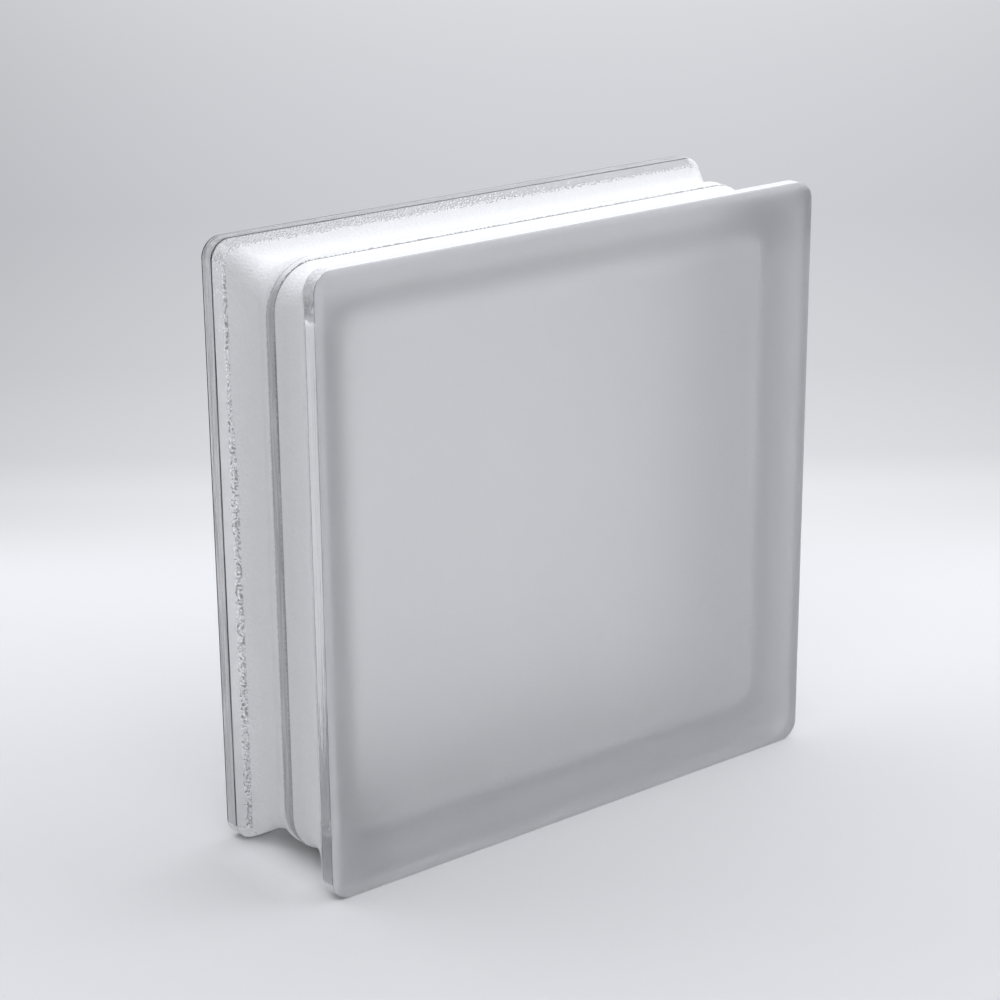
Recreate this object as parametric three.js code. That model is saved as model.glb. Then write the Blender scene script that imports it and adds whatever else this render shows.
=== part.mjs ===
// Hollow glass block: two pressed soda-lime glass half shells, alike, fused mouth to mouth along a seam
// that runs round the four sides. Millimetres, +Z up. The block stands on one of its sides: the faces look
// along -Y and +Y, the seam lies in the plane y = 0, and the origin is the middle of the side it stands on.
import * as THREE from 'three';

// Overall
const faceSize = 190; // width and height of the square face
const blockThickness = 58; // face to face

// Rim: the square flange round each face, which lies against its neighbour's rim in a wall
const rimWidth = 5.6; // flat width of the rim, from the face inwards
const rimCornerRadius = 6.3; // corner of the face, seen square on
const rimEdgeRadius = 0.8; // fire-polished edge between face and rim
const rimShoulderRadius = 2.4; // rounding where the rim turns down into the channel

// Channel: the shallow groove for mortar between each rim and the seam
const channelDepth = 5.3; // floor of the channel below the rim
const channelSlope = THREE.MathUtils.degToRad(30.4); // slope from the rim down to the floor
const channelFilletRadius = 9.8; // hollow rounding at the foot of the slope
const slopeCornerRadius = 4.5; // the block's corner, halfway down the slope
const channelCornerRadius = 9.7; // the block's corner, on the channel floor

// Seam: the swelling where the two mouths were pressed together hot
const seamRise = 2.4; // crest above the channel floor
const seamCrestWidth = 2; // both halves together
const seamWidth = 16.5; // foot to foot, both halves together
const seamCornerRadius = 16.5; // the block's corner, on the crest

// Glass
const faceGlass = 8; // thickness of each face
const wallGlass = 7; // thickness of the side wall under the channel floor
const wallDraft = THREE.MathUtils.degToRad(1.5); // taper of the hollow, wider at the mouth
const hollowFilletRadius = 9; // inside, between face and wall
const hollowCornerRadius = 10; // inside corner at the face, seen square on

// Fineness of the rounded stretches
const cornerSteps = 10; // steps round each corner of the block
const edgeSteps = 3; // steps round a sharp edge
const filletSteps = 5; // steps round a fillet
const seamSteps = 7; // steps up the flank of the seam

const mouth = 0; // distance of the seam plane from itself, where each half ends
const face = blockThickness / 2; // distance of the outer face from the seam plane

/** Points on an arc as [distance from the seam plane, inset from the rim], angle 0 pointing at the face. */
function arc(centreDistance, centreInset, radius, startAngle, endAngle, steps) {
  const points = [];
  for (let i = 0; i <= steps; i++) {
    const angle = THREE.MathUtils.lerp(startAngle, endAngle, i / steps);
    points.push([centreDistance + radius * Math.cos(angle), centreInset + radius * Math.sin(angle)]);
  }
  return points;
}

/** The outer profile of one half, from the edge of its face to the crest of the seam. */
function outerProfile() {
  const rimEnd = face - rimWidth;
  const shoulderLength = rimShoulderRadius * Math.tan(channelSlope / 2);
  const filletLength = channelFilletRadius * Math.tan(channelSlope / 2);
  const slopeFoot = rimEnd - channelDepth / Math.tan(channelSlope);
  const seamFoot = seamWidth / 2;
  const crestEdge = seamCrestWidth / 2;

  const faceEdge = arc(face - rimEdgeRadius, rimEdgeRadius, rimEdgeRadius, 0, -Math.PI / 2, edgeSteps);
  const shoulder = arc(
    rimEnd + shoulderLength, rimShoulderRadius, rimShoulderRadius,
    -Math.PI / 2, -Math.PI / 2 - channelSlope, edgeSteps,
  );
  const fillet = arc(
    slopeFoot - filletLength, channelDepth - channelFilletRadius, channelFilletRadius,
    Math.PI / 2 - channelSlope, Math.PI / 2, filletSteps,
  );
  const flank = [];
  for (let i = 0; i <= seamSteps; i++) {
    const share = i / seamSteps;
    const swell = (1 - Math.cos(Math.PI * share)) / 2;
    flank.push([THREE.MathUtils.lerp(seamFoot, crestEdge, share), channelDepth - seamRise * swell]);
  }
  const crest = [[mouth, channelDepth - seamRise]];
  return [...faceEdge, ...shoulder, ...fillet, ...flank, ...crest];
}

/** The profile of the hollow, from the mouth back to the inside of the face. */
function hollowProfile() {
  const innerFace = face - faceGlass;
  const wallInset = channelDepth + wallGlass;
  const filletCentre = innerFace - hollowFilletRadius;
  const fillet = arc(
    filletCentre, wallInset + hollowFilletRadius, hollowFilletRadius,
    -Math.PI / 2 + wallDraft, 0, filletSteps,
  );
  const [filletStart, filletInset] = fillet[0];
  const mouthInset = filletInset - (filletStart - mouth) * Math.tan(wallDraft);
  return [[mouth, mouthInset], ...fillet];
}

/** Corner radius of the outside at a point of the outer profile. */
function outerCornerRadius(distance, inset) {
  const rimEnd = face - rimWidth;
  const slopeMiddle = rimEnd - channelDepth / Math.tan(channelSlope) / 2;
  const seamFoot = seamWidth / 2;
  if (distance >= rimEnd) return rimCornerRadius - inset;
  if (distance >= slopeMiddle) {
    return THREE.MathUtils.mapLinear(distance, rimEnd, slopeMiddle, rimCornerRadius, slopeCornerRadius);
  }
  if (distance >= seamFoot) {
    const share = THREE.MathUtils.smoothstep(distance, seamFoot, slopeMiddle);
    return THREE.MathUtils.lerp(channelCornerRadius, slopeCornerRadius, share);
  }
  return THREE.MathUtils.mapLinear(distance, seamFoot, mouth, channelCornerRadius, seamCornerRadius);
}

/** One square section with rounded corners: its points, all at one distance from the seam plane. */
function section(distance, inset, radius) {
  const middle = faceSize / 2 - inset - radius; // centre of the corner's arc
  const points = [];
  for (let corner = 0; corner < 4; corner++) {
    const start = (corner * Math.PI) / 2;
    const centreX = middle * Math.SQRT2 * Math.cos(start + Math.PI / 4);
    const centreZ = middle * Math.SQRT2 * Math.sin(start + Math.PI / 4);
    for (let i = 0; i <= cornerSteps; i++) {
      const angle = start + (Math.PI / 2) * (i / cornerSteps);
      const x = centreX + radius * Math.cos(angle);
      const z = centreZ + radius * Math.sin(angle);
      points.push(new THREE.Vector3(x, -distance, faceSize / 2 + z));
    }
  }
  return points;
}

/** Skins a row of sections that have the same number of points, and closes both ends with flat caps. */
function loft(sections) {
  const count = sections[0].length;
  const positions = sections.flat().flatMap((point) => point.toArray());
  const indices = [];
  for (let row = 0; row < sections.length - 1; row++) {
    for (let i = 0; i < count; i++) {
      const next = (i + 1) % count;
      const here = row * count;
      const there = here + count;
      indices.push(here + i, there + i, there + next, here + i, there + next, here + next);
    }
  }
  for (const [row, turned] of [[0, false], [sections.length - 1, true]]) {
    const flat = sections[row].map((point) => new THREE.Vector2(point.x, point.z));
    for (const triangle of THREE.ShapeUtils.triangulateShape(flat, [])) {
      const corners = triangle.map((i) => row * count + i);
      indices.push(...(turned ? corners.reverse() : corners));
    }
  }
  const geometry = new THREE.BufferGeometry();
  geometry.setAttribute('position', new THREE.Float32BufferAttribute(positions, 3));
  geometry.setIndex(indices);
  geometry.computeVertexNormals();
  return geometry;
}

/** One half shell, open at the seam plane, with its face towards -Y. */
function halfShell() {
  const outside = outerProfile().map(([distance, inset]) =>
    section(distance, inset, outerCornerRadius(distance, inset)));
  const hollow = hollowProfile();
  const wallInset = hollow[0][1];
  const inside = hollow.map(([distance, inset]) => {
    const radius = Math.max(hollowCornerRadius - (inset - wallInset), hollowCornerRadius / 2);
    return section(distance, inset, radius);
  });
  return loft([...outside, ...inside]);
}

const frontHalf = new THREE.Mesh(
  halfShell(),
  new THREE.MeshStandardMaterial({ color: 0xb9bdc3, roughness: 0.5, metalness: 0 }),
);
frontHalf.name = 'front_half_shell';

const rearHalf = new THREE.Mesh(
  halfShell(),
  new THREE.MeshStandardMaterial({ color: 0xb9bdc3, roughness: 0.5, metalness: 0 }),
);
rearHalf.name = 'rear_half_shell';
rearHalf.rotation.z = Math.PI; // the same pressing, turned to face the other way

const glassBlock = new THREE.Group();
glassBlock.add(frontHalf, rearHalf);

export default glassBlock;
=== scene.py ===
from itertools import product
from math import cos, pi, radians, sin, tan
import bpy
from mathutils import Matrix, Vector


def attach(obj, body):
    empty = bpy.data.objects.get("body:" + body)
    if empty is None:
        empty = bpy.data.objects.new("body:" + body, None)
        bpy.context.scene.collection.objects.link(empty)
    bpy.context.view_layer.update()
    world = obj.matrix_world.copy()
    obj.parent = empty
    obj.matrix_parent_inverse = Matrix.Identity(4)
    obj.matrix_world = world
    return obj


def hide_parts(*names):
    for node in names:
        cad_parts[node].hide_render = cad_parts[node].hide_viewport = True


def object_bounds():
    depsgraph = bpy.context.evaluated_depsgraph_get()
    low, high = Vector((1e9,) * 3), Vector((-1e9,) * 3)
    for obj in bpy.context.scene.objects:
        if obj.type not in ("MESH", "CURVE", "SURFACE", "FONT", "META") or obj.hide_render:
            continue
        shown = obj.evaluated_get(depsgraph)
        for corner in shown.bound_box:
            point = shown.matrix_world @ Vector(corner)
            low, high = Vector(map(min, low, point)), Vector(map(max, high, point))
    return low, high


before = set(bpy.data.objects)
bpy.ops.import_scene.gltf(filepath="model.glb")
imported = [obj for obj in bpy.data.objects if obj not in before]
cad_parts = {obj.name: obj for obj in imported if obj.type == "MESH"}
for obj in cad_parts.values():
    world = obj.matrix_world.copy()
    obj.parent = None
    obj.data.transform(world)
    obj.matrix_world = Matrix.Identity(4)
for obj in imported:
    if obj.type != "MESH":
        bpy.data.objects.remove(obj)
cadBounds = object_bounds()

from types import SimpleNamespace

import bmesh
import bpy
from mathutils import Matrix, Vector

mm = 0.001
scene = bpy.context.scene

camera = {
    'place': (-0.47742, -0.59124, 0.35535),
    'heading': radians(38.41),   # turned from +Y towards +X
    'pitch': radians(18.76),     # looking down
    'roll': radians(-0.49),
    'lens': 92.57,
    'sensor': 36,
}


def makeCamera():
    h, p, r = camera['heading'], camera['pitch'], camera['roll']
    ahead = Vector((sin(h) * cos(p), cos(h) * cos(p), -sin(p)))
    level = Vector((cos(h), -sin(h), 0))
    upright = level.cross(ahead)
    right = level * cos(r) + upright * sin(r)
    up = upright * cos(r) - level * sin(r)
    turn = Matrix((right, up, -ahead)).transposed().to_4x4()
    data = bpy.data.cameras.new('camera')
    data.lens = camera['lens']
    data.sensor_width = camera['sensor']
    holder = bpy.data.objects.new('camera', data)
    holder.matrix_world = Matrix.Translation(camera['place']) @ turn
    scene.collection.objects.link(holder)
    scene.camera = holder


makeCamera()
print('camera placed')


def linear(hexColour, alpha=1.0):
    channels = [int(hexColour[i:i + 2], 16) / 255 for i in (1, 3, 5)]
    flat = [c / 12.92 if c <= 0.04045 else ((c + 0.055) / 1.055) ** 2.4 for c in channels]
    return (*flat, alpha)


# adds a shader node; a link's source is an output, or a node whose first output is meant
def addNode(tree, kind, settings=None, links=None):
    node = tree.nodes.new('ShaderNode' + kind)
    for key, value in (settings or {}).items():
        if isinstance(key, str) and key not in node.inputs:
            setattr(node, key, value)
        else:
            node.inputs[key].default_value = value
    for key, source in (links or {}).items():
        output = source.outputs[0] if isinstance(source, bpy.types.Node) else source
        tree.links.new(output, node.inputs[key])
    return node


# what a Map Range node is set to; the target is 0 to 1 unless it is given
def span(source, target=(0, 1)):
    return {'From Min': source[0], 'From Max': source[1], 'To Min': target[0], 'To Max': target[1]}


def metres(*lengths):
    return [length * mm for length in lengths]


def newMaterial(name):
    material = bpy.data.materials.new(name)
    material.use_nodes = True
    material.node_tree.nodes.clear()
    return material


low, high = cadBounds
block = {
    # lengths in mm; face and thickness come from the frame
    'faceSize': (high.x - low.x) / mm,
    'thickness': (high.y - low.y) / mm,
    'rimWidth': 5.6,
    'rimCornerRadius': 6.3,
    'edgeDepth': 0.6,      # the face rolls over to the rim
    'edgeCrown': 2.0,
    'rimShoulderRadius': 2.4,
    'channelDepth': 5.3,
    'channelSlope': radians(30.4),
    'channelFilletRadius': 9.8,
    'slopeCornerRadius': 4.5,
    'channelCornerRadius': 9.7,
    'seamRise': 2.4,
    'seamCrestWidth': 2.0,
    'seamWidth': 16.5,
    'seamCornerRadius': 16.5,
    'faceGlass': 8,
    'wallGlass': 7,
    'wallDraft': radians(6),
    'hollowFilletRadius': 9,
    'hollowCornerRadius': 10,
    'hollowLeastRadius': 5,
    # fine lines left where the halves were fused: distance towards the front, width, depth
    'fuseLines': [(3.1, 0.6, 0.32), (-0.1, 0.6, 0.38), (-1.15, 0.8, -0.14)],
    'fuseLineMargin': 0.05,
    'ringTolerance': 0.001,
    'smoothAngle': radians(40),
    'flatWeight': 100,
    'cornerSteps': 20,
    'edgeSteps': 7,
    'filletSteps': 10,
    'seamSteps': 12,
}


def arc(centreDistance, centreInset, radius, start, end, steps):
    turns = [start + (end - start) * i / steps for i in range(steps + 1)]
    return [(centreDistance + radius * cos(a), centreInset + radius * sin(a)) for a in turns]


def outerProfile(b):
    face = b['thickness'] / 2
    rimEnd = face - b['rimWidth']
    slope = b['channelSlope']
    shoulder = b['rimShoulderRadius']
    fillet = b['channelFilletRadius']
    foot = rimEnd - b['channelDepth'] / tan(slope)
    turns = [pi / 2 * i / b['edgeSteps'] for i in range(b['edgeSteps'] + 1)]
    points = [(face + b['edgeDepth'] * (cos(a) - 1), b['edgeCrown'] * (1 - sin(a))) for a in turns]
    points += arc(rimEnd + shoulder * tan(slope / 2), shoulder, shoulder,
                  -pi / 2, -pi / 2 - slope, b['edgeSteps'])
    points += arc(foot - fillet * tan(slope / 2), b['channelDepth'] - fillet, fillet,
                  pi / 2 - slope, pi / 2, b['filletSteps'])
    for i in range(b['seamSteps'] + 1):
        share = i / b['seamSteps']
        swell = (1 - cos(pi * share)) / 2
        distance = b['seamWidth'] / 2 + (b['seamCrestWidth'] - b['seamWidth']) / 2 * share
        points.append((distance, b['channelDepth'] - b['seamRise'] * swell))
    points.append((0, b['channelDepth'] - b['seamRise']))
    return points + [(-d, i) for d, i in reversed(points[:-1])]


def insetAt(points, distance):
    for (d0, i0), (d1, i1) in zip(points, points[1:]):
        if d1 <= distance <= d0 and d0 > d1:
            return i0 + (i1 - i0) * (d0 - distance) / (d0 - d1)


def cutFuseLines(points, b):
    margin = b['fuseLineMargin']
    for distance, width, depth in b['fuseLines']:
        front, back = distance + width / 2, distance - width / 2
        groove = [(front, insetAt(points, front)), (distance, insetAt(points, distance) + depth),
                  (back, insetAt(points, back))]
        kept = [p for p in points if not back - margin < p[0] < front + margin]
        points = sorted(kept + groove, key=lambda p: -p[0])
    return points


def cornerRadius(b, distance, inset):
    distance = abs(distance)
    rimEnd = b['thickness'] / 2 - b['rimWidth']
    middle = rimEnd - b['channelDepth'] / tan(b['channelSlope']) / 2
    foot = b['seamWidth'] / 2
    if distance >= rimEnd:
        return b['rimCornerRadius'] - inset
    if distance >= middle:
        share = (rimEnd - distance) / (rimEnd - middle)
        return b['rimCornerRadius'] + (b['slopeCornerRadius'] - b['rimCornerRadius']) * share
    if distance >= foot:
        share = (distance - foot) / (middle - foot)
        share = share * share * (3 - 2 * share)
        return b['channelCornerRadius'] + (b['slopeCornerRadius'] - b['channelCornerRadius']) * share
    share = (foot - distance) / foot
    return b['channelCornerRadius'] + (b['seamCornerRadius'] - b['channelCornerRadius']) * share


def hollowProfile(b):
    inner = b['thickness'] / 2 - b['faceGlass']
    wall = b['channelDepth'] + b['wallGlass']
    radius = b['hollowFilletRadius']
    points = arc(inner - radius, wall + radius, radius, 0, -pi / 2 + b['wallDraft'], b['filletSteps'])
    distance, inset = points[-1]
    points.append((0, inset - distance * tan(b['wallDraft'])))
    return points + [(-d, i) for d, i in reversed(points[:-1])]


def pick(*pieces):
    bpy.ops.object.select_all(action='DESELECT')
    for piece in pieces:
        piece.select_set(True)
    bpy.context.view_layer.objects.active = pieces[0]


# in edit mode, selects the points whose place passes the test
def selectPoints(piece, passes):
    mesh = bmesh.from_edit_mesh(piece.data)
    for point in mesh.verts:
        point.select = passes(point.co)
    mesh.select_flush_mode()
    bmesh.update_edit_mesh(piece.data)


# a square drawn out ring by ring; each ring is distance from the seam, inset and corner radius in mm
def extrudeRings(rings, name):
    size = block['faceSize']
    middle = size / 2 * mm
    distance, inset, radius = rings[0]
    bpy.ops.object.select_all(action='DESELECT')
    bpy.ops.mesh.primitive_plane_add(size=(size - 2 * inset) * mm, location=(0, -distance * mm, middle),
                                     rotation=(pi / 2, 0, 0))
    piece = bpy.context.object
    piece.name = name
    bpy.ops.object.transform_apply(location=True, rotation=True, scale=True)
    bpy.ops.object.mode_set(mode='EDIT')
    bpy.ops.mesh.select_all(action='SELECT')
    bpy.ops.mesh.bevel(affect='VERTICES', offset=radius * mm, offset_type='OFFSET',
                       segments=block['cornerSteps'])
    for nextDistance, nextInset, nextRadius in rings[1:]:
        plane = -nextDistance * mm
        step = (0, (distance - nextDistance) * mm, 0)
        scale = (size - 2 * nextInset) / (size - 2 * inset)
        bpy.ops.mesh.extrude_region_move(TRANSFORM_OT_translate={'value': step})
        bpy.ops.transform.resize(value=(scale, 1, scale), center_override=(0, plane, middle))

        def onRing(place):
            return abs(place.y - plane) < block['ringTolerance'] * mm

        # each rounded corner is scaled about its sharp corner, which sets its radius
        grown = nextRadius / (radius * scale)
        half = (size / 2 - nextInset) * mm
        for x, z in product((-1, 1), repeat=2):
            def onCorner(place):
                return onRing(place) and place.x * x > 0 and (place.z - middle) * z > 0

            selectPoints(piece, onCorner)
            bpy.ops.transform.resize(value=(grown, 1, grown),
                                     center_override=(half * x, plane, middle + half * z))
        selectPoints(piece, onRing)
        distance, inset, radius = nextDistance, nextInset, nextRadius
    bpy.ops.object.mode_set(mode='OBJECT')
    return piece


def turnNormals(piece, inwards):
    pick(piece)
    bpy.ops.object.mode_set(mode='EDIT')
    bpy.ops.mesh.select_all(action='SELECT')
    bpy.ops.mesh.normals_make_consistent(inside=inwards)
    bpy.ops.object.mode_set(mode='OBJECT')


def hollowCorner(b, inset):
    wall = b['channelDepth'] + b['wallGlass']
    return max(b['hollowCornerRadius'] - (inset - wall), b['hollowLeastRadius'])


outline = [(d, i, cornerRadius(block, d, i)) for d, i in cutFuseLines(outerProfile(block), block)]
hollowOutline = [(d, i, hollowCorner(block, i)) for d, i in hollowProfile(block)]
shell = extrudeRings(outline, 'glassBlock')
hollow = extrudeRings(hollowOutline, 'hollow')
turnNormals(shell, False)
turnNormals(hollow, True)      # the air inside is bounded by glass that faces it
print('shell and hollow drawn out')

finish = {
    # lengths in mm: depths are from the seam, with the front negative where they are signed, and
    # heights and widths are from the block's middle
    'glassTone': '#fbfbfb',          # the faint grey of thick glass
    'glassIor': 1.52,
    'satinRough': 0.66,
    'polishedRough': 0.05,
    'satinFrom': 28.45,
    'flatFrom': 28.95,               # here the face is flat and only etched
    'rimFrom': 23.4,
    'rimBlend': 0.2,
    'mitre': (-4, 6),                # one side passes into the next across this, round a corner
    # grain
    'dropSize': 0.8,                 # also the etched grain, drawn coarser than the real 0.05 mm to show
    'dimpleSize': 0.74,
    'streakSize': 2 / 3,
    'streakStretch': 0.03,           # drag lines run long round the block
}

relief = {
    # depth in mm and strength of each bump
    'streakDepth': 0.4,
    'streakStrength': 0.35,
    'dropDepth': 0.8,
    'dropStrength': 0.45,
    'dropsFade': (20.8, 20.3),       # droplets lie on the glass only this near the spray
    'etchStrength': 0.056,
    'peelDepth': 0.4,
    'peelStrength': 0.5,
}

residueAndShade = {
    # share of the light taken by the grey residue and by the painted shade
    'streakSpan': (0.35, 0.60),
    'streakLoss': (0.68, 0.20),
    'frontShare': 0.1,
    'arrisFront': 0.65,
    'arrisRear': 0.85,
    # half widths in mm
    'shoulderLine': 0.28,
    'edgeLine': 0.25,
    'edgeLineInset': 0.1,
    'rearLine': 0.45,
}

etch = {
    'tone': '#fcfcfd',
    'share': 0.30,                   # share of the etch that scatters light every way
    'bandShare': 0.10,               # thin inside the left and top edges
    'bandSpan': (70, 82),
    'edgeShare': 0.85,               # and deep along those edges, where the acid ran on
    'edgeWidth': 3.6,
    'edgeFull': 0.4,
}

spray = {
    'outside': '#f7f7f7',
    'bondedShade': '#cecfd1',             # the bonded side, seen through the glass, painted grey as painted shade
    'bondedShadeUpright': '#bebfc1',
    'rough': 0.35,
    'ior': 1.50,
    # the ragged end; low down on the upright sides the spray breaks up sooner and wider
    'speckSpan': (0.36, 0.64),
    'ends': 19.4,
    'endsLow': 18.5,
    'fray': 1.1,
    'frayLow': 2.2,
    'lowSpan': (50, 25),
    'fringeSpan': (-0.2, 0.2),
    # mist over the top of the front rim, and over the right and bottom rims
    'mistEnds': 28.2,
    'mistTopSpan': (82, 89),
    'mistDrift': 3,
    'mistLeftSpan': (-93.5, -86.5),
    'mistLeft': 0.6,
    'mistTrailingSpan': (89, 90),
    'mistTrailing': 0.75,
    # the share of the coat that lets light through
    'thinUpright': 0.25,
    'thinSpan': (12.0, 19.5),
    'thin': 0.30,
    'thinTop': 0.50,                 # on the front slope of the top
    'rimThickSpan': (21.5, 23.0),
    'rimThin': 0.2,
    # painted shade specks in the fringe, for the dark gaps where the ragged spray lets the glass show, and a
    # faint mottle all over
    'fringeShadeSpan': (0.44, 0.56),
    'fringeShadeTone': 0.45,
    'mottleSpan': (0.3, 0.7),
    'mottleTone': 0.975,
}

fuseBand = {
    'span': (-3.3, 0.2),
    'blend': 0.15,
    'tone': 0.62,                    # on the upright sides, darker as painted shade
    'toneLevel': 0.97,
    'streakSpan': (0.35, 0.65),
    'streakTone': (-0.10, 0.10),
    # painted shade in the creases beside the band: depth, loss on the level sides, loss on the upright ones
    'lines': [(-2.8, 0.55, 0.15), (0.4, 0.10, 0.15)],
    'lineWidth': 0.24,
    'wander': 0.6,                   # the lines waver by this much
}


# a point's place, as it is and from the block's middle
def blockPlace(t):
    place = addNode(t, 'TexCoord').outputs['Object']
    centred = addNode(t, 'Mapping', {'Location': (0, 0, -block['faceSize'] / 2 * mm)}, {'Vector': place})
    return place, centred


# on which side, rim or face of the block a point lies
def surfacePlaces(t):
    place, centred = blockPlace(t)
    signed = addNode(t, 'SeparateXYZ', {}, {'Vector': centred})
    folded = addNode(t, 'VectorMath', {'operation': 'ABSOLUTE'}, {0: centred})
    reach = addNode(t, 'SeparateXYZ', {}, {'Vector': folded})
    x, y, z = signed.outputs
    width, depth, height = reach.outputs
    mitre = span(metres(*finish['mitre']))
    lean = addNode(t, 'Math', {'operation': 'SUBTRACT'}, {0: width, 1: height})
    upright = addNode(t, 'MapRange', mitre, {'Value': lean})
    rise = addNode(t, 'Math', {'operation': 'SUBTRACT'}, {0: z, 1: width})
    onTop = addNode(t, 'MapRange', mitre, {'Value': rise})
    behindSeam = addNode(t, 'Math', {'operation': 'GREATER_THAN', 1: 0.0}, {0: y})
    onFace = addNode(t, 'Math', {'operation': 'GREATER_THAN', 1: finish['satinFrom'] * mm}, {0: depth})
    return SimpleNamespace(place=place, x=x, y=y, z=z, depth=depth, upright=upright, onTop=onTop,
                           behindSeam=behindSeam, onFace=onFace)


# noise in the size of spray drops, of the dimples of dried spray and of the mould's drag lines
def surfaceGrains(t, place):
    f = finish
    stretch = f['streakStretch']
    dropScale = 1 / (f['dropSize'] * mm)
    dimpleScale = 1 / (f['dimpleSize'] * mm)
    streakScale = 1 / (f['streakSize'] * mm)
    drops = addNode(t, 'TexNoise', {'Scale': dropScale, 'Detail': 0.0}, {'Vector': place})
    dimples = addNode(t, 'TexNoise', {'Scale': dimpleScale, 'Detail': 0.0}, {'Vector': place})
    drawn = addNode(t, 'Mapping', {'Scale': (stretch, 1, stretch)}, {'Vector': place})
    streaks = addNode(t, 'TexNoise', {'Scale': streakScale, 'Detail': 1.0}, {'Vector': drawn})
    return SimpleNamespace(drops=drops, dimples=dimples, streaks=streaks)


# where the spray lies, and where its fringe gets painted shade specks
def sprayCover(t, at, grains):
    s = spray
    speck = addNode(t, 'MapRange', span(s['speckSpan']), {'Value': grains.drops})
    below = addNode(t, 'MapRange', span(metres(*s['lowSpan'])), {'Value': at.z})
    low = addNode(t, 'Math', {'operation': 'MULTIPLY'}, {0: below, 1: at.upright})
    starts = addNode(t, 'MapRange', span((0, 1), metres(s['ends'], s['endsLow'])), {'Value': low})
    width = addNode(t, 'MapRange', span((0, 1), metres(s['fray'], s['frayLow'])), {'Value': low})
    edge = addNode(t, 'Math', {'operation': 'MULTIPLY_ADD'}, {0: speck, 1: width, 2: starts})
    sprayed = addNode(t, 'Math', {'operation': 'LESS_THAN'}, {0: at.depth, 1: edge})

    short = addNode(t, 'Math', {'operation': 'LESS_THAN', 1: s['mistEnds'] * mm}, {0: at.depth})
    high = addNode(t, 'MapRange', span(metres(*s['mistTopSpan'])), {'Value': at.z})
    mistTop = addNode(t, 'Math', {'operation': 'MULTIPLY'}, {0: high, 1: short})
    mistFront = addNode(t, 'Math', {'operation': 'SUBTRACT', 'use_clamp': True},
                        {0: mistTop, 1: at.behindSeam})
    drift = addNode(t, 'Math', {'operation': 'MULTIPLY_ADD', 1: s['mistDrift'] * mm}, {0: speck, 2: at.x})
    leftEnd = addNode(t, 'MapRange', span(metres(*s['mistLeftSpan']), (s['mistLeft'], 1)), {'Value': drift})
    mist = addNode(t, 'Math', {'operation': 'MULTIPLY'}, {0: mistFront, 1: leftEnd})
    downwards = addNode(t, 'Math', {'operation': 'MULTIPLY', 1: -1.0}, {0: at.z})
    trailing = addNode(t, 'Math', {'operation': 'MAXIMUM'}, {0: at.x, 1: downwards})
    onTrailing = addNode(t, 'MapRange', span(metres(*s['mistTrailingSpan']), (0, s['mistTrailing'])),
                         {'Value': trailing})
    mistTrailing = addNode(t, 'Math', {'operation': 'MULTIPLY'}, {0: onTrailing, 1: short})
    allMist = addNode(t, 'Math', {'operation': 'MAXIMUM'}, {0: mist, 1: mistTrailing})
    coated = addNode(t, 'Math', {'operation': 'MAXIMUM'}, {0: sprayed, 1: allMist})

    past = addNode(t, 'Math', {'operation': 'SUBTRACT'}, {0: at.depth, 1: starts})
    fringe = addNode(t, 'MapRange', span(metres(*s['fringeSpan'])), {'Value': past})
    misted = addNode(t, 'Math', {'operation': 'MULTIPLY_ADD', 1: 2.0}, {0: mistTrailing, 2: mistTop})
    fringeShadeZone = addNode(t, 'Math', {'operation': 'SUBTRACT', 'use_clamp': True}, {0: fringe, 1: misted})
    return coated, fringeShadeZone


# grey release residue in the drag lines, laid heavier on the rear rim as painted shade, and painted shade in
# the two arrises of each rim
def keptLight(t, at, grains, onRim):
    r = residueAndShade
    shoulder = finish['rimFrom']
    edge = finish['satinFrom']
    inLines = addNode(t, 'MapRange', span(r['streakSpan'], r['streakLoss']), {'Value': grains.streaks})
    # painted shade: the rear rim takes the full loss in the drag lines, the front rim a tenth of it
    rearMore = addNode(t, 'MapRange', span((0, 1), (r['frontShare'], 1)), {'Value': at.behindSeam})
    streakResidueAndShade = addNode(t, 'Math', {'operation': 'MULTIPLY'}, {0: inLines, 1: rearMore})
    rimResidueAndShade = addNode(t, 'Math', {'operation': 'MULTIPLY'}, {0: streakResidueAndShade, 1: onRim})
    # painted shade: dark lines along the two arrises of each rim, and a wider one at the rear face's edge
    shoulderLine = addNode(t, 'Math', {'operation': 'COMPARE', 1: shoulder * mm, 2: r['shoulderLine'] * mm},
                           {0: at.depth})
    edgeLine = addNode(t, 'Math', {'operation': 'COMPARE', 1: (edge - r['edgeLineInset']) * mm,
                                   2: r['edgeLine'] * mm}, {0: at.depth})
    arris = addNode(t, 'Math', {'operation': 'ADD'}, {0: shoulderLine, 1: edgeLine})
    rearEdge = addNode(t, 'Math', {'operation': 'COMPARE', 1: edge * mm, 2: r['rearLine'] * mm},
                       {0: at.depth})
    rearLine = addNode(t, 'Math', {'operation': 'MULTIPLY'}, {0: rearEdge, 1: at.behindSeam})
    arrises = addNode(t, 'Math', {'operation': 'MAXIMUM'}, {0: arris, 1: rearLine})
    arrisLoss = addNode(t, 'MapRange', span((0, 1), (r['arrisFront'], r['arrisRear'])),
                        {'Value': at.behindSeam})
    arrisPaintedShade = addNode(t, 'Math', {'operation': 'MULTIPLY'}, {0: arrises, 1: arrisLoss})
    loss = addNode(t, 'Math', {'operation': 'ADD', 'use_clamp': True}, {0: rimResidueAndShade, 1: arrisPaintedShade})
    return addNode(t, 'Math', {'operation': 'SUBTRACT', 0: 1.0}, {1: loss})


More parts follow.
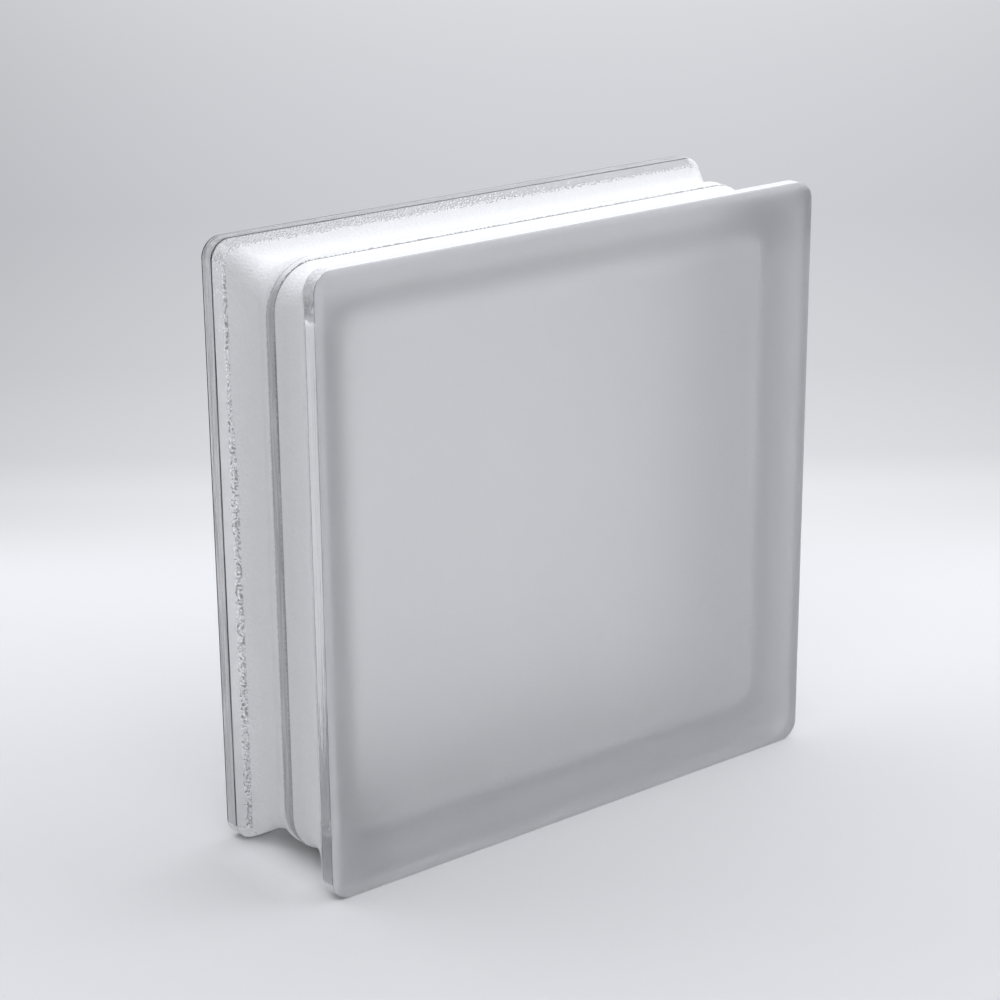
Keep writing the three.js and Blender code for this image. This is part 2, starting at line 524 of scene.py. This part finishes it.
# polished on the rims, with drag lines along them, and etched on the faces
def bareGlass(t, at, grains):
    f = finish
    r = relief
    rough = addNode(t, 'MapRange', span((0, 1), (f['polishedRough'], f['satinRough'])), {'Value': at.onFace})
    start = metres(f['rimFrom'] - f['rimBlend'], f['rimFrom'] + f['rimBlend'])
    pastSlope = addNode(t, 'MapRange', span(start), {'Value': at.depth})
    onRim = addNode(t, 'Math', {'operation': 'SUBTRACT', 'use_clamp': True}, {0: pastSlope, 1: at.onFace})
    streakStrength = addNode(t, 'Math', {'operation': 'MULTIPLY', 1: r['streakStrength']}, {0: onRim})
    dragLines = addNode(t, 'Bump', {'Distance': r['streakDepth'] * mm},
                        {'Height': grains.streaks, 'Strength': streakStrength})
    nearSpray = addNode(t, 'MapRange', span(metres(*r['dropsFade']), (0, r['dropStrength'])),
                        {'Value': at.depth})
    dropStrength = addNode(t, 'Math', {'operation': 'MULTIPLY_ADD', 1: r['etchStrength']},
                           {0: at.onFace, 2: nearSpray})
    normal = addNode(t, 'Bump', {'Distance': r['dropDepth'] * mm},
                     {'Height': grains.drops, 'Strength': dropStrength, 'Normal': dragLines})
    kept = keptLight(t, at, grains, onRim)
    clear = addNode(t, 'VectorMath', {'operation': 'SCALE', 0: linear(f['glassTone'])[:3]},
                    {'Scale': kept})
    glass = addNode(t, 'BsdfPrincipled', {'IOR': f['glassIor'], 'Transmission Weight': 1.0},
                    {'Base Color': clear, 'Roughness': rough, 'Normal': normal})
    scatters = addNode(t, 'Math', {'operation': 'MULTIPLY'}, {0: etchShare(t, at.x, at.z), 1: at.onFace})
    return addNode(t, 'MixShader', {}, {0: scatters, 1: glass, 2: frost(t, normal)})


# how much of the etched face is deep enough to scatter light both ways
def etchShare(t, x, z):
    e = etch
    size = block['faceSize'] / 2
    leftwards = addNode(t, 'Math', {'operation': 'MULTIPLY', 1: -1.0}, {0: x})
    leading = addNode(t, 'Math', {'operation': 'MAXIMUM'}, {0: leftwards, 1: z})
    inside = addNode(t, 'MapRange', span(metres(*e['bandSpan']), (e['share'], e['bandShare'])),
                     {'Value': leading})
    edgeSpan = metres(size - e['edgeWidth'], size - e['edgeFull'])
    toEdge = span(edgeSpan, (0, e['edgeShare']))
    return addNode(t, 'MapRange', {'interpolation_type': 'SMOOTHSTEP', **toEdge},
                   {'Value': leading, 'To Min': inside})


def frost(t, normal):
    back = addNode(t, 'BsdfDiffuse', {'Color': linear(etch['tone'])}, {'Normal': normal})
    through = addNode(t, 'BsdfTranslucent', {'Color': linear(etch['tone'])}, {'Normal': normal})
    return addNode(t, 'MixShader', {0: 0.5}, {1: back, 2: through})


# the spray is dulled along the fused band, darker on its upright sides as painted shade, with painted crease
# shade in the lines beside it
def bandShade(t, at, grains):
    b = fuseBand
    blend = b['blend']
    front, rear = b['span']
    pastFront = addNode(t, 'MapRange', span(metres(front - blend, front + blend)), {'Value': at.y})
    shortOfRear = addNode(t, 'MapRange', span(metres(rear + blend, rear - blend)), {'Value': at.y})
    band = addNode(t, 'Math', {'operation': 'MULTIPLY'}, {0: pastFront, 1: shortOfRear})
    # painted shade: the band is darker on the upright sides than on top
    side = addNode(t, 'MapRange', span((0, 1), (b['toneLevel'], b['tone'])), {'Value': at.upright})
    streak = addNode(t, 'MapRange', span(b['streakSpan'], b['streakTone']), {'Value': grains.streaks})
    tone = addNode(t, 'Math', {'operation': 'ADD', 'use_clamp': True}, {0: side, 1: streak})
    bandDarkened = addNode(t, 'Mix', {'data_type': 'FLOAT', 2: 1.0}, {0: band, 3: tone})
    wander = addNode(t, 'Math', {'operation': 'MULTIPLY_ADD', 1: b['wander'] * mm},
                     {0: grains.dimples, 2: at.y})
    losses = []
    # painted shade in the creases of the fuse grooves
    for depth, lossLevel, lossUpright in b['lines']:
        line = addNode(t, 'Math', {'operation': 'COMPARE', 1: depth * mm, 2: b['lineWidth'] * mm},
                       {0: wander})
        dark = addNode(t, 'MapRange', span((0, 1), (lossLevel, lossUpright)), {'Value': at.upright})
        losses.append(addNode(t, 'Math', {'operation': 'MULTIPLY'}, {0: line, 1: dark}))
    loss = addNode(t, 'Math', {'operation': 'ADD'}, {0: losses[0], 1: losses[1]})
    return addNode(t, 'Math', {'operation': 'SUBTRACT'}, {0: bandDarkened, 1: loss})


def sprayTone(t, at, grains, fringeShadeZone):
    s = spray
    lined = bandShade(t, at, grains)
    # painted shade: dark specks in the fringe stand for gaps where dark glass shows through the ragged spray
    fringeShade = addNode(t, 'MapRange', span(s['fringeShadeSpan'], (s['fringeShadeTone'], 1)), {'Value': grains.dimples})
    fringeShaded = addNode(t, 'Mix', {'data_type': 'FLOAT', 2: 1.0}, {0: fringeShadeZone, 3: fringeShade})
    mottle = addNode(t, 'MapRange', span(s['mottleSpan'], (s['mottleTone'], 1)),
                     {'Value': grains.dimples})
    flecked = addNode(t, 'Math', {'operation': 'MULTIPLY'}, {0: fringeShaded, 1: mottle})
    shade = addNode(t, 'Math', {'operation': 'MULTIPLY'}, {0: lined, 1: flecked})
    marked = addNode(t, 'VectorMath', {'operation': 'SCALE', 0: linear(s['outside'])[:3]},
                     {'Scale': shade})
    # painted shade: the bonded side seen through the glass is painted grey, darker on the upright sides
    bondedShade = addNode(t, 'Mix', {'data_type': 'RGBA', 6: linear(s['bondedShade']), 7: linear(s['bondedShadeUpright'])},
                     {0: at.upright})
    facing = addNode(t, 'NewGeometry')
    tone = addNode(t, 'Mix', {'data_type': 'RGBA'},
                   {0: facing.outputs['Backfacing'], 6: marked, 7: bondedShade.outputs[2]})
    return tone.outputs[2]


# white spray, thin on the slopes and over the rims, where light comes through
def sprayCoat(t, at, grains, fringeShadeZone):
    s = spray
    tone = sprayTone(t, at, grains, fringeShadeZone)
    peel = addNode(t, 'Bump', {'Strength': relief['peelStrength'], 'Distance': relief['peelDepth'] * mm},
                   {'Height': grains.dimples})
    coat = addNode(t, 'BsdfPrincipled', {'Roughness': s['rough'], 'IOR': s['ior']},
                   {'Base Color': tone, 'Normal': peel})
    through = addNode(t, 'BsdfTranslucent', {}, {'Color': tone, 'Normal': peel})
    topFront = addNode(t, 'Math', {'operation': 'SUBTRACT', 'use_clamp': True},
                       {0: at.onTop, 1: at.behindSeam})
    thinnest = addNode(t, 'MapRange', span((0, 1), (s['thin'], s['thinTop'])), {'Value': topFront})
    channelThin = addNode(t, 'Math', {'operation': 'MULTIPLY', 1: s['thinUpright']}, {0: at.upright})
    slopeThin = addNode(t, 'MapRange', span(metres(*s['thinSpan'])),
                        {'Value': at.depth, 'To Min': channelThin, 'To Max': thinnest})
    rimShare = addNode(t, 'MapRange', span(metres(*s['rimThickSpan']), (1, s['rimThin'])),
                       {'Value': at.depth})
    thin = addNode(t, 'Math', {'operation': 'MULTIPLY'}, {0: slopeThin, 1: rimShare})
    return addNode(t, 'MixShader', {}, {0: thin, 1: coat, 2: through})


def blockGlass():
    # pressed soda-lime glass: fire-polished rims look wet, and the mortar sides are sprayed white
    m = newMaterial('pressedSodaLimeGlass')
    t = m.node_tree
    at = surfacePlaces(t)
    grains = surfaceGrains(t, at.place)
    coated, fringeShadeZone = sprayCover(t, at, grains)
    body = bareGlass(t, at, grains)
    film = sprayCoat(t, at, grains, fringeShadeZone)
    surface = addNode(t, 'MixShader', {}, {0: coated, 1: body, 2: film})
    addNode(t, 'OutputMaterial', {}, {'Surface': surface})
    return m


def faceGlass():
    # the acid-etched flat of both faces: it blurs what is behind it and glows softly
    m = newMaterial('acidEtchedGlass')
    t = m.node_tree
    f = finish
    place, centred = blockPlace(t)
    x, _, z = addNode(t, 'SeparateXYZ', {}, {'Vector': centred}).outputs
    grain = addNode(t, 'TexNoise', {'Scale': 1 / (f['dropSize'] * mm), 'Detail': 0.0}, {'Vector': place})
    normal = addNode(t, 'Bump', {'Distance': relief['dropDepth'] * mm, 'Strength': relief['etchStrength']},
                     {'Height': grain})
    glass = addNode(t, 'BsdfPrincipled', {'IOR': f['glassIor'], 'Transmission Weight': 1.0,
                                          'Base Color': linear(f['glassTone']),
                                          'Roughness': f['satinRough']}, {'Normal': normal})
    surface = addNode(t, 'MixShader', {}, {0: etchShare(t, x, z), 1: glass, 2: frost(t, normal)})
    addNode(t, 'OutputMaterial', {}, {'Surface': surface})
    return m


def hollowGlass():
    # the same glass inside, bare and fire-polished, so that light crosses the hollow unblurred
    m = newMaterial('firePolishedGlass')
    t = m.node_tree
    glass = addNode(t, 'BsdfPrincipled', {'IOR': finish['glassIor'], 'Transmission Weight': 1.0,
                                          'Base Color': linear(finish['glassTone']),
                                          'Roughness': finish['polishedRough']})
    addNode(t, 'OutputMaterial', {}, {'Surface': glass})
    return m


shell.data.materials.append(blockGlass())
shell.data.materials.append(faceGlass())
hollow.data.materials.append(hollowGlass())
for polygon in shell.data.polygons:
    if abs(polygon.center.y) > finish['flatFrom'] * mm:
        polygon.material_index = shell.data.materials.find('acidEtchedGlass')
pick(shell, hollow)
bpy.ops.object.join()
bpy.ops.object.shade_smooth_by_angle(angle=block['smoothAngle'])
weigh = shell.modifiers.new('weigh', 'WEIGHTED_NORMAL')
weigh.keep_sharp = True
weigh.weight = block['flatWeight']
bpy.ops.object.modifier_apply(modifier='weigh')
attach(shell, 'root')
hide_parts('front_half_shell', 'rear_half_shell')
print('glass block modelled')

stage = {
    # lengths in metres, behind the block unless said otherwise
    'boardSize': 14,
    # painted light: the board is painted paler from front to back
    'boardFront': '#d9d9d9',
    'boardBack': '#e9e9e9',
    'boardSpan': (-0.10, 0.18),
    'boardPaintedLight': '#ebebeb',       # painted light: paler between the feet, for the light that comes down through the glass
    'paintedLightDepth': (0.026, 0.014),
    'paintedLightWidth': (0.108, 0.096),
    # tone of the sweep behind the block: place, colour
    'sweep': [(0.24, '#eeeff2'), (0.30, '#ebecf0'), (0.35, '#dedfe3'), (0.50, '#d5d6da'), (0.85, '#cecfd4'),
              (1.85, '#dadbdf')],
    'sweepReach': 2.0,
    'sweepRise': (0.18, 0.30),
    'sweepFrom': 0.76,             # in front of the block, where the sweep's tone fans out from
    'sweepShift': 0.04,
    # it dims by the square of the bearing, by more further back, and not below the least
    'falloffSpan': (0.35, 0.70),
    'falloff': (-2.2, -3.0),
    'sweepLeast': 0.72,
}
h = camera['heading']
ahead = Vector((sin(h), cos(h), 0))
leftward = Vector((-cos(h), sin(h), 0))

bpy.ops.object.select_all(action='DESELECT')
bpy.ops.mesh.primitive_plane_add(size=stage['boardSize'], location=(0, 0, 0))
floor = bpy.context.object
floor.name = 'floor'


def boardShade(t, place, back):
    s = stage
    # painted light: paler towards the back
    near = addNode(t, 'MapRange', span(s['boardSpan']), {'Value': back})
    tone = addNode(t, 'Mix', {'data_type': 'RGBA', 6: linear(s['boardFront']), 7: linear(s['boardBack'])},
                   {0: near})
    spread = addNode(t, 'VectorMath', {'operation': 'ABSOLUTE'}, {0: place})
    width, depth, _ = addNode(t, 'SeparateXYZ', {}, {'Vector': spread}).outputs
    # painted light: a paler patch of board between the feet
    paintedLightDepth = addNode(t, 'MapRange', span(s['paintedLightDepth']), {'Value': depth})
    paintedLightWidth = addNode(t, 'MapRange', span(s['paintedLightWidth']), {'Value': width})
    paintedLightPatch = addNode(t, 'Math', {'operation': 'MULTIPLY'}, {0: paintedLightDepth, 1: paintedLightWidth})
    boardWithPaintedLight = addNode(t, 'Mix', {'data_type': 'RGBA', 7: linear(s['boardPaintedLight'])},
                   {0: paintedLightPatch, 6: tone.outputs[2]})
    return addNode(t, 'BsdfDiffuse', {}, {'Color': boardWithPaintedLight.outputs[2]})


# the sweep's tone by distance, darker to the sides
def sweepShade(t, place, back):
    s = stage
    far = addNode(t, 'Math', {'operation': 'DIVIDE', 1: s['sweepReach']}, {0: back})
    tone = addNode(t, 'ValToRGB', {}, {'Fac': far})
    stops = tone.color_ramp.elements
    stops.remove(stops[1])
    for number, (distance, colour) in enumerate(s['sweep']):
        stop = stops[0] if number == 0 else stops.new(distance / s['sweepReach'])
        stop.position = distance / s['sweepReach']
        stop.color = linear(colour)
    aside = addNode(t, 'VectorMath', {'operation': 'DOT_PRODUCT', 1: leftward},
                    {0: place}).outputs['Value']
    fan = addNode(t, 'Math', {'operation': 'ADD', 1: s['sweepFrom']}, {0: back})
    bearing = addNode(t, 'Math', {'operation': 'DIVIDE'}, {0: aside, 1: fan})
    off = addNode(t, 'Math', {'operation': 'ADD', 1: s['sweepShift']}, {0: bearing})
    square = addNode(t, 'Math', {'operation': 'MULTIPLY'}, {0: off, 1: off})
    falloff = addNode(t, 'MapRange', span(s['falloffSpan'], s['falloff']), {'Value': back})
    fade = addNode(t, 'Math', {'operation': 'MULTIPLY_ADD', 2: 1.0}, {0: square, 1: falloff})
    dim = addNode(t, 'Math', {'operation': 'MAXIMUM', 1: s['sweepLeast']}, {0: fade})
    return addNode(t, 'Emission', {}, {'Color': tone, 'Strength': dim})


def paleBoard():
    # matt white card, painted paler towards the back and between the feet as painted light: near the block
    # it takes the lamps, and further back it shows its sweep's soft tone
    m = newMaterial('paleBoard')
    t = m.node_tree
    place = addNode(t, 'TexCoord').outputs['Object']
    back = addNode(t, 'VectorMath', {'operation': 'DOT_PRODUCT', 1: ahead}, {0: place}).outputs['Value']
    board = boardShade(t, place, back)
    sweep = sweepShade(t, place, back)

    # the sweep is seen by the eye, in reflections and through the glass, and throws no light on the block
    ray = addNode(t, 'LightPath').outputs
    looked = addNode(t, 'Math', {'operation': 'MAXIMUM'},
                     {0: ray['Is Camera Ray'], 1: ray['Is Glossy Ray']})
    seen = addNode(t, 'Math', {'operation': 'MAXIMUM'}, {0: looked, 1: ray['Is Transmission Ray']})
    rise = addNode(t, 'MapRange', {'interpolation_type': 'SMOOTHERSTEP', **span(stage['sweepRise'])},
                   {'Value': back})
    shown = addNode(t, 'Math', {'operation': 'MULTIPLY'}, {0: rise, 1: seen})
    both = addNode(t, 'MixShader', {}, {0: shown, 1: board, 2: sweep})
    addNode(t, 'OutputMaterial', {}, {'Surface': both})
    return m


floor.data.materials.append(paleBoard())
print('floor laid')

studio = {
    'daylight': '#f8faff',
    # ahead, leftward, height, size in metres, power in watts
    'softboxes': {
        'right': (0, -1.2, 0.6, 0.8, 4.6),
        'topFront': (-0.6, 0, 1.1, 0.8, 3.94),
        'topLeft': (0.2, 0.6, 1.0, 0.8, 2.65),
    },
    # soft light of the room: ahead, leftward, up, strength, power of the cosine
    'room': [(1, 1, 0.3, 0.38, 2), (1, -1, 0.3, 1.44, 2), (0, 0, 1, 0.61, 1)],
}
daylight = linear(studio['daylight'])
blockMiddle = Vector((0, 0, block['faceSize'] / 2 * mm))


def lightRoom():
    world = bpy.data.worlds.new('studio')
    scene.world = world
    world.use_nodes = True
    t = world.node_tree
    t.nodes.clear()
    place = addNode(t, 'TexCoord').outputs['Generated']
    glow = None
    for forward, left, up, strength, sharpness in studio['room']:
        way = (ahead * forward + leftward * left + Vector((0, 0, up))).normalized()
        cosine = addNode(t, 'VectorMath', {'operation': 'DOT_PRODUCT', 1: way},
                         {0: place}).outputs['Value']
        toward = addNode(t, 'Math', {'operation': 'MAXIMUM', 1: 0.0}, {0: cosine})
        lobe = addNode(t, 'Math', {'operation': 'POWER', 1: sharpness}, {0: toward})
        links = {0: lobe, 2: glow} if glow else {0: lobe}
        glow = addNode(t, 'Math', {'operation': 'MULTIPLY_ADD', 1: strength, 2: 0.0}, links)
    sky = addNode(t, 'Background', {'Color': daylight}, {'Strength': glow})
    addNode(t, 'OutputWorld', {}, {'Surface': sky})


def hangSoftbox(name, forward, left, height, size, power):
    softbox = bpy.data.lights.new(name, 'AREA')
    softbox.shape = 'SQUARE'
    softbox.size = size
    softbox.energy = power
    softbox.color = daylight[:3]
    lamp = bpy.data.objects.new(name, softbox)
    lamp.location = ahead * forward + leftward * left + Vector((0, 0, height))
    lamp.rotation_mode = 'QUATERNION'
    lamp.rotation_quaternion = (blockMiddle - lamp.location).to_track_quat('-Z', 'Y')
    scene.collection.objects.link(lamp)


lightRoom()
for name, setting in studio['softboxes'].items():
    hangSoftbox(name, *setting)
print('studio lit')

scene.view_settings.view_transform = 'Standard'
